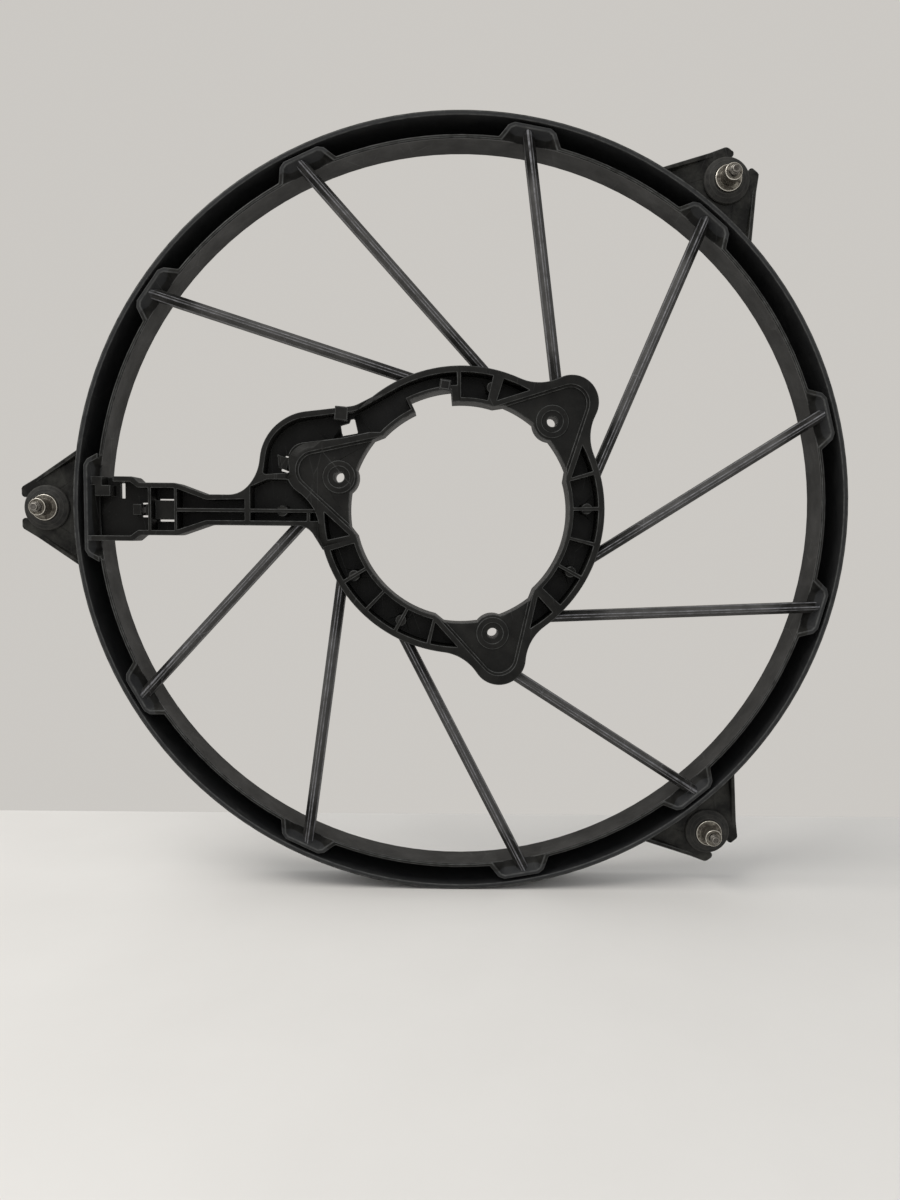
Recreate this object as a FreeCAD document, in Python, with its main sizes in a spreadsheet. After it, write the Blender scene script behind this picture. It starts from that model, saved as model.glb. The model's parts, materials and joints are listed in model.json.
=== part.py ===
"""Radiator fan shroud: a spoked fan ring with a motor ring, a cable arm and three rubber mounts.

Frame: the fan axis is the Y axis. The open front of the ring, where the spokes show, faces -Y and
its lip lies in the plane Y = 0. +Z is up and +X is to the right as seen from the front. The origin
is on the fan axis in the plane of the front lip. Angles are counted from +X towards +Z.
"""
import FreeCAD, Part
import math
import os
from FreeCAD import Placement, Rotation, Vector

import Sketcher

SIZES = [
    # The hoop: a U section, open to the front, with a floor at the back.
    ("lip_radius", 213.6, "inner radius of the inner wall at its front lip"),
    ("lip_flare", 3.6, "how much the throat opens behind the lip"),
    ("lip_run", 9.5, "depth over which it opens"),
    ("ring_depth", 31.0, "depth of the hoop"),
    ("inner_wall", 2.4, "thickness of the hoop's inner wall"),
    ("outer_wall", 3.1, "thickness of the hoop's outer wall"),
    ("ring_floor", 2.4, "thickness of the hoop's floor"),
    ("edge_bevel", 0.7, "bevel of the hoop's front edges"),
    # The pockets: the inner wall bulges out round the end of each spoke and of the arm.
    ("pocket_rise", 11.4, "height of a pocket over the lip radius"),
    ("pocket_gap", 1.9, "gap between a pocket and the outer wall"),
    ("pocket_wall", 2.2, "wall of a pocket"),
    ("pocket_top", 26.0, "width of a pocket at its top"),
    ("arm_pocket_top", 55.0, "width of the arm's pocket at its top"),
    ("pocket_flank", 0.55, "slope of a pocket's flanks"),
    ("pocket_draft", 1.5, "how much narrower a pocket is at its back, on each side"),
    ("pocket_corner", 2.4, "bevel of a pocket's outer corners"),
    # The spokes: straight bars, tangent to a circle about the fan axis.
    ("spoke_offset", 65.3, "distance from the fan axis to each spoke's centre line"),
    ("spoke_width", 6.4, "width of a spoke"),
    ("spoke_depth", 10.2, "depth of a spoke"),
    ("spoke_front", 0.8, "how far the ridge lies behind the lip"),
    ("ridge_width", 1.7, "width of the ridge"),
    ("ridge_height", 3.2, "height of the sloping flanks"),
    # The motor ring: an annular channel with three lobes for the motor's screws.
    ("motor_ring_radius", 85.0, "outer radius of the motor ring"),
    ("motor_opening", 64.0, "radius of the opening for the motor"),
    ("motor_ring_depth", 18.0, "depth of the motor ring"),
    ("motor_outer_wall", 3.8, "outer wall of the channel"),
    ("motor_inner_wall", 2.6, "inner wall of the channel"),
    ("motor_floor", 3.0, "floor of the channel"),
    ("motor_rib", 2.0, "thickness of the ribs across the channel"),
    ("bolt_circle", 75.5, "radius of the motor's bolt circle"),
    ("bolt_hole", 3.1, "radius of a motor bolt hole"),
    ("bolt_recess", 6.2, "radius of the recess round a bolt hole"),
    ("bolt_boss", 9.8, "radius of the boss round a bolt hole"),
    ("bolt_tab", 11.3, "radius of the tab that reaches into the opening"),
    ("lobe_centre", 91.0, "distance from the fan axis to a lobe's centre"),
    ("lobe_radius", 16.0, "radius of a lobe"),
    ("lobe_fillet", 28.0, "radius between a lobe and the ring"),
    ("pad_depth", 3.5, "depth of the pad in a lobe"),
    ("pad_floor", 2.6, "thickness of the pad"),
    ("pad_tip", 11.0, "radius of the pad's outer corner"),
    ("pad_border", 3.4, "wall between a pad and the channel"),
    ("pad_rim", 1.5, "width of the step along a pad's border"),
    ("rim_depth", 1.6, "depth of that step"),
    ("rib_boss", 3.2, "radius of the round boss on a rib"),
    # The cable arm: a channel from the hoop to the motor ring.
    ("arm_depth", 15.0, "depth of the arm"),
    ("arm_floor", 2.5, "floor of the arm"),
    # The ears and what they hold.
    ("ear_front", 12.0, "depth of the ear's front face behind the lip"),
    ("ear_plate", 3.0, "thickness of an ear"),
    ("ear_reach", 35.5, "how far an ear stands out from the hoop"),
    ("ear_base", 33.4, "half the width of an ear at the hoop"),
    ("ear_end", 12.4, "half the width of an ear at its end"),
    ("ear_slot", 6.2, "half the width of the slot for the bush"),
    ("ear_flange", 2.4, "thickness of the gusset along an ear's edge"),
    ("flange_rise", 6.5, "height of a gusset at the hoop"),
    ("gusset_end", 9.0, "distance from a gusset's low end to the ear's end"),
    ("stud_reach", 19.5, "distance from the hoop to the stud's axis"),
    ("seat_gap", 0.3, "clearance of the rubber bush in its ear"),
    ("bush_neck", 7.8, "radius of the bush's neck"),
    ("bush_flange", 13.6, "radius of the bush's flanges"),
    ("bush_flange_depth", 4.0, "thickness of a flange at its middle"),
    ("bush_rim", 1.8, "thickness of a flange at its rim"),
    ("sleeve_radius", 5.0, "outer radius of the steel sleeve"),
    ("sleeve_fit", 0.05, "clearance of the sleeve in the bush"),
    ("sleeve_nose", 9.6, "how far the sleeve stands in front of its collar"),
    ("collar_radius", 7.75, "radius of the sleeve's collar"),
    ("collar_depth", 1.5, "thickness of the collar"),
    ("screw_radius", 3.0, "radius of the captive screw's thread"),
    ("screw_waist", 2.5, "radius of its waist, inside the sleeve"),
    ("waist_clearance", 0.3, "clearance of the waist in the sleeve, which holds the thread back"),
    ("screw_float", 0.3, "how far the screw can slide in its sleeve"),
    ("screw_nose", 4.5, "how far the screw stands out of the sleeve"),
    ("screw_flange", 7.0, "radius of the flange under the screw's head"),
    ("screw_flange_depth", 1.6, "thickness of that flange"),
    ("screw_hex", 10.0, "width across flats of the screw's head"),
    ("screw_head", 4.4, "height of the hexagon"),
]

SPOKE_ANGLES = [145, 115, 80, 50, 15, -15, -50, -80, -115, -150]
ARM_ANGLE = 180
BOLT_ANGLES = [45, 165, 285]
RIB_STEPS = [28.5, 43.5, 58.5, 73.5, 88.5]
BOSSED_RIBS = [43.5, 73.5]
EARS = {"left": 180.0, "upper": 51.7, "lower": -51.7}

doc = FreeCAD.newDocument("fan_shroud")


def make_sheet():
    """The driving dimensions, each in a cell of its own."""
    page = doc.addObject("Spreadsheet::Sheet", "sizes")
    for row, (alias, value, meaning) in enumerate(SIZES, start=1):
        page.set("A%d" % row, alias)
        page.set("B%d" % row, str(value))
        page.set("C%d" % row, meaning)
        page.setAlias("B%d" % row, alias)
    doc.recompute()
    return page


sheet = make_sheet()


def size(alias):
    return float(sheet.get(alias))


# ---------------------------------------------------------------- outlines

def polar(radius, angle):
    """A point in the sketch plane, at an angle in degrees."""
    return (radius * math.cos(math.radians(angle)), radius * math.sin(math.radians(angle)))


def turned(points, angle):
    """Outline points turned about the fan axis."""
    c = math.cos(math.radians(angle))
    s = math.sin(math.radians(angle))
    return [(p[0] * c - p[1] * s, p[0] * s + p[1] * c) + tuple(p[2:]) for p in points]


def flat(point):
    return Vector(point[0], point[1], 0)


def arc_through(start, middle, end):
    return Part.Arc(flat(start), flat(middle), flat(end))


def outline(points):
    """A closed outline from corner points (x, y) or (x, y, radius of the corner)."""
    corners = []
    count = len(points)
    for i in range(count):
        here = flat(points[i])
        radius = points[i][2] if len(points[i]) > 2 else 0
        if not radius:
            corners.append((here, here, None))
            continue
        back = (flat(points[i - 1]) - here).normalize()
        ahead = (flat(points[(i + 1) % count]) - here).normalize()
        half = back.getAngle(ahead) / 2
        reach = radius / math.tan(half)
        to_centre = (back + ahead).normalize()
        middle = here + to_centre * (radius / math.sin(half) - radius)
        corners.append((here + back * reach, here + ahead * reach, middle))
    edges = []
    for i in range(count):
        start, end, middle = corners[i]
        if middle is not None:
            edges.append(Part.Arc(start, middle, end))
        following = corners[(i + 1) % count][0]
        if end.distanceToPoint(following) > 1e-5:
            edges.append(Part.LineSegment(end, following))
    return edges


def bevelled(points):
    """The same corners, each one with a third value cut off at that distance from it."""
    cut = []
    count = len(points)
    for i, point in enumerate(points):
        if len(point) < 3:
            cut.append(point)
            continue
        here = flat(point)
        for other in (points[i - 1], points[(i + 1) % count]):
            mark = here + (flat(other) - here).normalize() * point[2]
            cut.append((mark.x, mark.y))
    return cut


def round_run(radius, start, end):
    """Corner points whose rounding is the arc about the fan axis from one angle to another."""
    half = (end - start) / 2
    bend = polar(radius / math.cos(math.radians(half)), start + half)
    return [polar(radius, start), bend + (radius,), polar(radius, end)]


def sector(inner, outer, start, end):
    """A cell between two radii and two angles."""
    middle = (start + end) / 2
    return [
        arc_through(polar(outer, start), polar(outer, middle), polar(outer, end)),
        Part.LineSegment(flat(polar(outer, end)), flat(polar(inner, end))),
        arc_through(polar(inner, end), polar(inner, middle), polar(inner, start)),
        Part.LineSegment(flat(polar(inner, start)), flat(polar(outer, start))),
    ]


# ---------------------------------------------------------------- FreeCAD helpers

def origin_plane(body, role):
    return next(f for f in body.Origin.OriginFeatures if f.Role == role)


def new_body(name):
    return doc.addObject("PartDesign::Body", name)


def new_sketch(body, name, edges, role="XZ_Plane", offset=0):
    """A sketch on one of the body's own planes; offset runs along the plane's normal."""
    sketch = body.newObject("Sketcher::SketchObject", name)
    sketch.AttachmentSupport = [(origin_plane(body, role), "")]
    sketch.MapMode = "FlatFace"
    sketch.AttachmentOffset = Placement(Vector(0, 0, offset), Rotation())
    if edges:
        sketch.addGeometry(edges, False)
    return sketch


def add_circle(sketch, centre, alias, extra=""):
    """A circle whose radius follows a cell of the sheet."""
    index = sketch.addGeometry(Part.Circle(flat(centre), Vector(0, 0, 1), size(alias)), False)
    sketch.addConstraint(Sketcher.Constraint("DistanceX", -1, 1, index, 3, centre[0]))
    sketch.addConstraint(Sketcher.Constraint("DistanceY", -1, 1, index, 3, centre[1]))
    rule = sketch.addConstraint(Sketcher.Constraint("Radius", index, size(alias)))
    sketch.setExpression("Constraints[%d]" % rule, "sizes.%s%s" % (alias, extra))


def feature(body, kind, sketch, length, reversed_way):
    """A pad or a pocket; its length is an expression on the sheet."""
    item = body.newObject("PartDesign::" + kind, kind + "_" + sketch.Name)
    item.Profile = sketch
    item.setExpression("Length", length)
    item.Reversed = reversed_way
    sketch.Visibility = False
    return item


def pad_back(body, sketch, length):
    """Material from the sketch towards the back (+Y)."""
    return feature(body, "Pad", sketch, length, True)


def cut_back(body, sketch, length):
    """A recess from the sketch towards the back (+Y)."""
    return feature(body, "Pocket", sketch, length, False)


def cut_forward(body, sketch, length):
    """A recess from the sketch towards the front (-Y)."""
    return feature(body, "Pocket", sketch, length, True)


def revolved(body, sketch):
    """The sketch, drawn as (radius, depth), turned about the Y axis."""
    item = body.newObject("PartDesign::Revolution", "Turn_" + sketch.Name)
    item.Profile = sketch
    item.ReferenceAxis = (sketch, ["V_Axis"])
    item.Angle = 360
    return item


def boolean(kind, name, base, tool):
    item = doc.addObject("Part::" + kind, name)
    item.Base = base
    item.Tool = tool
    return item


def grouped(name, items):
    """Identical loose pieces as one sub-part of separate solids."""
    item = doc.addObject("Part::Compound", name)
    item.Links = items
    return item


def about_axis(angle):
    """Turns a piece about the fan axis, from +X towards +Z."""
    return Placement(Vector(), Rotation(Vector(0, -1, 0), angle))


# ---------------------------------------------------------------- hoop

def throat_radius():
    return size("lip_radius") + size("lip_flare")


def pocket_radius():
    return size("lip_radius") + size("pocket_rise")


def ring_radius():
    return pocket_radius() + size("pocket_gap") + size("outer_wall")


def hoop_body():
    """The U-shaped hoop: outer wall, floor at the back, inner wall that opens behind its lip."""
    lip = size("lip_radius")
    wall = size("inner_wall")
    throat = throat_radius()
    outer = ring_radius()
    depth = size("ring_depth")
    floor = depth - size("ring_floor")
    run = size("lip_run")
    edge = size("edge_bevel")
    body = new_body("hoop")
    section = outline(bevelled([
        (lip, 0, edge),
        (lip + wall, 0),
        (throat + wall, run),
        (throat + wall, floor),
        (outer - size("outer_wall"), floor),
        (outer - size("outer_wall"), 0),
        (outer, 0, edge),
        (outer, depth),
        (throat, depth),
        (throat, run),
    ]))
    revolved(body, new_sketch(body, "hoop_section", section, "XY_Plane"))
    return body


def throat_core():
    """All the space inside the hoop's inner wall."""
    body = new_body("throat_core")
    section = outline([
        (0, -5),
        (size("lip_radius"), -5),
        (size("lip_radius"), 0),
        (throat_radius(), size("lip_run")),
        (throat_radius(), size("ring_depth") + 5),
        (0, size("ring_depth") + 5),
    ])
    revolved(body, new_sketch(body, "core_section", section, "XY_Plane"))
    return body


def pocket_wire(top, half, foot, corner, depth):
    """A bevelled trapezoid at one depth: its top at one radius, its flanks spreading inwards."""
    flank = size("pocket_flank")
    spread = half + (top - foot) * flank
    edges = outline(bevelled([(foot, -spread), (top, -half, corner), (top, half, corner), (foot, spread)]))
    wire = Part.Wire([edge.toShape() for edge in edges])
    wire.rotate(Vector(), Vector(1, 0, 0), 90)
    wire.translate(Vector(0, depth, 0))
    return wire


def pocket_pair(angle, width, drop):
    """The shell of one pocket and the hollow in it, as two lofts."""
    reach = pocket_radius() - drop
    wall = size("pocket_wall")
    draft = size("pocket_draft")
    corner = size("pocket_corner")
    run = size("lip_run")
    back = throat_radius() + 0.4
    foot = size("lip_radius") + size("inner_wall") * 0.4
    half = width / 2
    shell = Part.makeLoft([
        pocket_wire(reach, half, foot, corner, 0),
        pocket_wire(back + wall, half - draft, foot, corner, run + wall),
    ], True, True)
    inside = half - wall * 0.8
    deep = size("lip_radius") - 8
    front = pocket_wire(reach - wall + 0.1, inside + 0.05, deep, corner * 0.6, -0.2)
    rear = pocket_wire(back, inside - draft, deep, corner * 0.6, run)
    hollow = Part.makeLoft([front, rear], True, True)
    for solid in (shell, hollow):
        solid.rotate(Vector(), Vector(0, -1, 0), angle)
    return shell, hollow


def pocket_shapes():
    """The shells and the hollows of all the pockets, as two features."""
    pairs = [pocket_pair(angle, size("pocket_top"), 0) for angle in SPOKE_ANGLES]
    wide = size("arm_pocket_top")
    drop = pocket_radius() - math.sqrt(pocket_radius() ** 2 - (wide / 2) ** 2)
    pairs.append(pocket_pair(ARM_ANGLE, wide, drop))
    features = []
    for name, shapes in (("pocket_shells", [p[0] for p in pairs]), ("pocket_hollows", [p[1] for p in pairs])):
        item = doc.addObject("Part::Feature", name)
        item.Shape = Part.makeCompound(shapes)
        features.append(item)
    return features


def shroud_ring(shells, inside):
    """The hoop with its eleven pockets, open to the space inside."""
    joined = boolean("Fuse", "hoop_with_shells", hoop_body(), shells)
    return boolean("Cut", "shroud_ring", joined, inside)


# ---------------------------------------------------------------- spokes

def spoke_start(direction):
    """Where a bar begins along its own line: under the ring, or under the lobe that it runs into."""
    for bolt in BOLT_ANGLES:
        along = size("lobe_centre") * math.cos(math.radians(bolt - direction))
        aside = size("lobe_centre") * math.sin(math.radians(bolt - direction)) + size("spoke_offset")
        if along > 0 and abs(aside) < size("lobe_radius") - size("spoke_width"):
            return along
    return size("motor_opening") / 2


def spoke_body(name, angle):
    """One straight bar with a roof-shaped front, before its ends are trimmed."""
    half = size("spoke_width") / 2
    ridge = size("ridge_width") / 2
    front = size("spoke_front")
    back = front + size("spoke_depth")
    eaves = front + size("ridge_height")
    offset = -size("spoke_offset")
    end_radius = size("lip_radius") + size("inner_wall")
    cross = math.sqrt(end_radius ** 2 - size("spoke_offset") ** 2)
    direction = angle + math.degrees(math.asin(size("spoke_offset") / end_radius))
    start = spoke_start(direction)
    body = new_body(name)
    section = outline([
        (front, offset - ridge),
        (front, offset + ridge),
        (eaves, offset + half),
        (back, offset + half),
        (back, offset - half),
        (eaves, offset - half),
    ])
    sketch = new_sketch(body, name + "_section", section, "YZ_Plane", start)
    bar = feature(body, "Pad", sketch, "%g" % (cross - start + size("pocket_rise")), False)
    bar.Label = name + "_length"
    body.Placement = about_axis(direction)
    return body


def spokes(inside, hub_space, arm_space):
    """Ten spokes, cut to the pockets at one end and to the motor ring or the arm at the other."""
    made = []
    for number, angle in enumerate(SPOKE_ANGLES, start=1):
        name = "spoke_%02d" % number
        trimmed = boolean("Common", name + "_in_hoop", spoke_body(name + "_bar", angle), inside)
        clear = boolean("Cut", name + "_to_hub", trimmed, hub_space)
        made.append(boolean("Cut", name, clear, arm_space))
    return made


# ---------------------------------------------------------------- motor ring

def motor_envelope():
    """The outside of the motor ring: a circle with three lobes, all joined by tangent arcs."""
    ring = size("motor_ring_radius")
    centre = size("lobe_centre")
    lobe = size("lobe_radius")
    fillet = size("lobe_fillet")
    swing = math.degrees(math.acos(
        ((ring + fillet) ** 2 + centre ** 2 - (lobe + fillet) ** 2) / (2 * (ring + fillet) * centre)))
    edges = []
    for i, bolt in enumerate(BOLT_ANGLES):
        hub = flat(polar(centre, bolt))
        marks = []
        for side in (-1, 1):
            pivot = flat(polar(ring + fillet, bolt + side * swing))
            on_ring = flat(polar(ring, bolt + side * swing))
            on_lobe = hub + (pivot - hub).normalize() * lobe
            between = pivot + ((on_ring + on_lobe) / 2 - pivot).normalize() * fillet
            marks.append((on_ring, between, on_lobe))
        crown = flat(polar(centre + lobe, bolt))
        edges.append(Part.Arc(*marks[0]))
        edges.append(Part.Arc(marks[0][2], crown, marks[1][2]))
        edges.append(Part.Arc(marks[1][2], marks[1][1], marks[1][0]))
        following = BOLT_ANGLES[(i + 1) % 3] + (360 if i == 2 else 0)
        start = bolt + swing
        end = following - swing
        edges.append(arc_through(polar(ring, start), polar(ring, (start + end) / 2), polar(ring, end)))
    return edges


def motor_opening_edges():
    """The motor's opening: smaller between the lobes, with a round tab at each bolt."""
    small = size("motor_opening")
    large = small + 3
    tab = size("bolt_tab")
    bolt_at = size("bolt_circle")
    shoulder = 28.5
    step = 23.5
    bite = math.degrees(math.acos((large ** 2 + bolt_at ** 2 - tab ** 2) / (2 * large * bolt_at)))
    edges = []
    for i, bolt in enumerate(BOLT_ANGLES):
        for first, last in ((-step, -bite), (bite, step)):
            a, b = bolt + first, bolt + last
            edges.append(arc_through(polar(large, a), polar(large, (a + b) / 2), polar(large, b)))
        edges.append(arc_through(
            polar(large, bolt - bite), polar(bolt_at - tab, bolt), polar(large, bolt + bite)))
        for side in (-1, 1):
            edges.append(Part.LineSegment(
                flat(polar(small, bolt + side * shoulder)), flat(polar(large, bolt + side * step))))
        following = BOLT_ANGLES[(i + 1) % 3] + (360 if i == 2 else 0)
        a, b = bolt + shoulder, following - shoulder
        edges.append(arc_through(polar(small, a), polar(small, (a + b) / 2), polar(small, b)))
    return edges


PAD_LEAN = 27.5


def pad_point():
    """Where the two long sides of a lobe's pad would meet, on the lobe's middle line."""
    return size("lobe_centre") - 1 + size("pad_tip") / math.sin(math.radians(PAD_LEAN))


def lobe_triangle(tip, base, corner, bolt):
    """A triangle in a lobe, rounded at its outer corner."""
    half = (tip - base) * math.tan(math.radians(PAD_LEAN))
    return outline(turned([(base, -half), (tip, 0, corner), (base, half)], bolt))


def end_cell(bolt, side):
    """The three-cornered cell between the last rib and the wall of a lobe's pad."""
    outer = size("motor_ring_radius") - size("motor_outer_wall")
    inner = size("motor_opening") + size("motor_inner_wall") + 1.5
    lean = math.radians(PAD_LEAN)
    apex = pad_point() + size("pad_border") / math.sin(lean)
    rib = RIB_STEPS[0] - math.degrees(size("motor_rib") / 2 / inner)
    along = apex * math.cos(lean) - math.sqrt(outer ** 2 - (apex * math.sin(lean)) ** 2)
    corner = (apex - along * math.cos(lean), along * math.sin(lean))
    edge = math.degrees(math.atan2(corner[1], corner[0]))
    foot = polar(inner, rib)
    points = [foot] + [polar(outer, rib), corner]
    middle = polar(outer, (rib + edge) / 2)
    mirrored = [(p[0], p[1] * side) for p in points + [middle]]
    foot, shoulder, corner, middle = turned(mirrored, bolt)
    return [
        Part.LineSegment(flat(foot), flat(shoulder)),
        arc_through(shoulder, middle, corner),
        Part.LineSegment(flat(corner), flat(foot)),
    ]


def channel_cells():
    """The cells of the motor ring's channel, between its ribs."""
    outer = size("motor_ring_radius") - size("motor_outer_wall")
    inner = size("motor_opening") + size("motor_inner_wall")
    half_rib = math.degrees(size("motor_rib") / 2 / ((outer + inner) / 2))
    edges = []
    for bolt in (BOLT_ANGLES[0], BOLT_ANGLES[2]):
        for near, far in zip(RIB_STEPS, RIB_STEPS[1:]):
            edges += sector(inner, outer, bolt - far + half_rib, bolt - near - half_rib)
        edges += end_cell(bolt, -1)
    edges += end_cell(BOLT_ANGLES[1], 1)
    edges += end_cell(BOLT_ANGLES[2], 1)
    top = BOLT_ANGLES[1]
    edges += sector(inner, outer, top - RIB_STEPS[4] + half_rib, top - RIB_STEPS[3] - half_rib)
    edges += end_cell(BOLT_ANGLES[0], 1)
    return edges


NOTCH = (95.5, 115.5)
NOTCH_RADIUS = 71.5


def cable_window():
    """The window beside the clip that holds the cable, where the arm meets the motor ring."""
    return outline([(-73.0, 50.8), (-72.0, 44.6), (-62.6, 46.4), (-64.6, 55.0), (-67.0, 54.6),
                    (-67.8, 52.3)])


def cable_cell():
    """The cable's way: from the notch in the inner wall, round the left lobe and into the arm."""
    outer = size("motor_ring_radius") - size("motor_outer_wall")
    inner = size("motor_opening") + size("motor_inner_wall")
    rib = BOLT_ANGLES[1] - RIB_STEPS[3] + 1.0
    behind_notch = NOTCH_RADIUS + 2.3
    lean = math.radians(PAD_LEAN)
    apex = pad_point() + (size("pad_border") + 0.6) / math.sin(lean)
    lobe = size("lobe_radius") + 0.4
    side = turned([
        (size("lobe_centre") + lobe * math.cos(math.radians(62)), -lobe * math.sin(math.radians(62))),
        (78.5, -(apex - 78.5) * math.tan(lean), 14),
        (64.5, -(apex - 64.5) * math.tan(lean), 3),
    ], BOLT_ANGLES[1])
    corners = round_run(outer, rib, 121.0)
    corners += [
        (-62.5, 58.0, 12),
        (-98.5, 53.0, 26),
        (-114.2, 43.4, 26),
        (-117.6, 20.5, 1.5),
        (-101.9, 21.6, 1),
        (-103.6, 38.0, 10),
    ]
    corners += side[1:]
    corners += round_run(inner, 136.5, NOTCH[1] + 1.5)
    corners += round_run(behind_notch, NOTCH[1] + 1.5, rib)
    return outline(corners)


def motor_ring():
    """The motor ring with its channel, ribs, lobes, bolt holes and the notch for the cable."""
    depth = size("motor_ring_depth")
    body = new_body("whole_motor_ring")
    pad_back(body, new_sketch(body, "ring_outline", motor_envelope()), "sizes.motor_ring_depth")
    opening = new_sketch(body, "opening_outline", motor_opening_edges(), offset=1)
    cut_back(body, opening, "sizes.motor_ring_depth + 2")
    notch = new_sketch(body, "notch_outline",
                       sector(size("motor_opening") - 4, NOTCH_RADIUS, *NOTCH), offset=1)
    cut_back(body, notch, "sizes.motor_ring_depth + 2")
    cells = new_sketch(body, "cell_outlines", channel_cells())
    cut_back(body, cells, "sizes.motor_ring_depth - sizes.motor_floor")
    cable = new_sketch(body, "cable_outline", cable_cell())
    cut_back(body, cable, "sizes.arm_depth - sizes.arm_floor")
    window = new_sketch(body, "window_outline", cable_window(), offset=1)
    cut_back(body, window, "sizes.motor_ring_depth + 2")
    for name, inset, length in (("pad_rims", 0, "sizes.rim_depth"),
                                ("pad_outlines", size("pad_rim"), "sizes.pad_depth")):
        tip = pad_point() - inset / math.sin(math.radians(PAD_LEAN))
        edges = []
        for bolt in BOLT_ANGLES:
            edges += lobe_triangle(tip, size("motor_opening") - 6, size("pad_tip") - inset, bolt)
        cut_back(body, new_sketch(body, name, edges), length)
    edges = []
    for bolt in BOLT_ANGLES:
        core_tip = pad_point() + 1.0
        edges += lobe_triangle(core_tip, size("motor_opening") + 7.5, size("pad_tip"), bolt)
    cores = new_sketch(body, "core_outlines", edges, offset=-depth)
    cut_forward(body, cores, "sizes.motor_ring_depth - sizes.pad_depth - sizes.pad_floor")
    bosses = new_sketch(body, "boss_outlines", [], offset=-(size("pad_depth") - 0.7))
    for bolt in BOLT_ANGLES:
        add_circle(bosses, polar(size("bolt_circle"), bolt), "bolt_boss")
    pad_back(body, bosses, "sizes.motor_ring_depth - sizes.pad_depth + 0.7")
    studs = new_sketch(body, "rib_bosses", [], offset=-0.5)
    middle = (size("motor_ring_radius") + size("motor_opening")) / 2
    spots = [BOLT_ANGLES[i] - step for i in (0, 2) for step in BOSSED_RIBS]
    spots.append(BOLT_ANGLES[1] - RIB_STEPS[4])
    for angle in spots:
        add_circle(studs, polar(middle, angle), "rib_boss")
    pad_back(body, studs, "sizes.motor_ring_depth - sizes.motor_floor")
    for name, alias, length in (("bolt_recesses", "bolt_recess", "sizes.pad_depth + 1"),
                                ("bolt_holes", "bolt_hole", "sizes.motor_ring_depth + 2")):
        holes = new_sketch(body, name, [], offset=1)
        for bolt in BOLT_ANGLES:
            add_circle(holes, polar(size("bolt_circle"), bolt), alias)
        cut_back(body, holes, length)
    return body


def cable_side():
    """The sector of the motor ring that carries the cable's way, between the middles of two ribs."""
    far = 2 * size("motor_ring_radius")
    start = BOLT_ANGLES[1] - RIB_STEPS[3]
    end = (BOLT_ANGLES[1] + RIB_STEPS[0] + BOLT_ANGLES[2] - RIB_STEPS[4]) / 2
    corners = [(0, 0), polar(far, start), polar(far, (start + end) / 2), polar(far, end)]
    body = new_body("cable_side")
    pad_back(body, new_sketch(body, "cable_side_outline", outline(corners), offset=5),
             "sizes.motor_ring_depth + 10")
    return body


def hub_space():
    """The motor ring's outline, filled and deeper, to trim what meets it."""
    body = new_body("hub_space")
    sketch = new_sketch(body, "hub_space_outline", motor_envelope(), offset=5)
    pad_back(body, sketch, "sizes.ring_depth + 10")
    return body


# ---------------------------------------------------------------- cable arm

def arm_outline():
    """The arm's outside, from behind the hoop's pocket to inside the motor ring."""
    root = -pocket_radius() - 4
    return outline([
        (root, 18.5),
        (root, -19.5),
        (-194.0, -19.5, 3),
        (-190.0, -16.0, 2.5),
        (-168.0, -16.0, 8),
        (-150.0, -9.6, 8),
        (-91.0, -9.6, 11),
        (-82.0, -24.0),
        (-64.0, 20.0),
        (-44.0, 71.0),
        (-63.5, 61.0, 14),
        (-99.5, 56.6, 30),
        (-117.5, 44.5, 30),
        (-120.5, 21.0, 26),
        (-130.5, 8.4, 16),
        (-151.0, 8.4, 9),
        (-169.0, 15.0, 8),
        (-190.5, 15.0, 2.5),
        (-194.0, 18.5, 3),
    ])


def arm_cells():
    """The cells of the arm's channel, one after another from the hoop to the motor ring."""
    root = -pocket_radius() - 6
    cells = [
        [(root, -16.4), (-196.0, -16.4, 2), (-191.5, -13.0), (-185.4, -13.0), (-185.4, 12.0),
         (-191.5, 12.0), (-196.0, 15.4, 2), (-206.0, 15.4), (-206.0, 20.0), (root, 20.0)],
        [(-183.6, -13.0), (-170.0, -13.0), (-170.0, 12.0), (-183.6, 12.0)],
        [(-168.4, -12.6), (-151.0, -6.8, 6), (-128.4, -6.8), (-128.4, -1.9), (-168.4, -1.9)],
        [(-168.4, 0.2), (-128.4, 0.2), (-128.4, 5.8), (-151.0, 5.2, 6), (-168.4, 11.6)],
        [(-125.0, -6.8), (-91.6, -6.8), (-91.6, -1.9), (-125.0, -1.9)],
        [(-89.6, -6.8), (-84.6, -6.8), (-84.6, -1.9), (-89.6, -1.9)],
        [(-125.0, 0.2), (-83.0, 0.2), (-103.2, 17.6, 3), (-115.0, 17.6, 4), (-125.0, 13.2)],
    ]
    edges = []
    for cell in cells:
        edges += outline(cell)
    return edges


def arm_windows():
    """Slits and windows through the arm's floor, beside its spring tongues and clips."""
    boxes = [
        (-182.5, -171.0, 4.8, 5.9),
        (-182.5, -171.0, -7.7, -6.5),
        (-193.0, -186.2, 2.5, 3.5),
        (-193.0, -186.2, -5.2, -4.1),
        (-191.0, -188.3, -2.6, 1.1),
        (-205.6, -203.0, 6.0, 15.2),
    ]
    edges = []
    for left, right, low, high in boxes:
        edges += outline([(left, low), (right, low), (right, high), (left, high)])
    edges += outline([(-108.6, 24.8), (-102.4, 22.4), (-102.4, 21.7), (-109.0, 23.4)])
    edges += outline([(-106.3, 32.6), (-100.6, 31.2), (-100.6, 30.2), (-106.3, 31.4)])
    return edges + cable_window()


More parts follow.
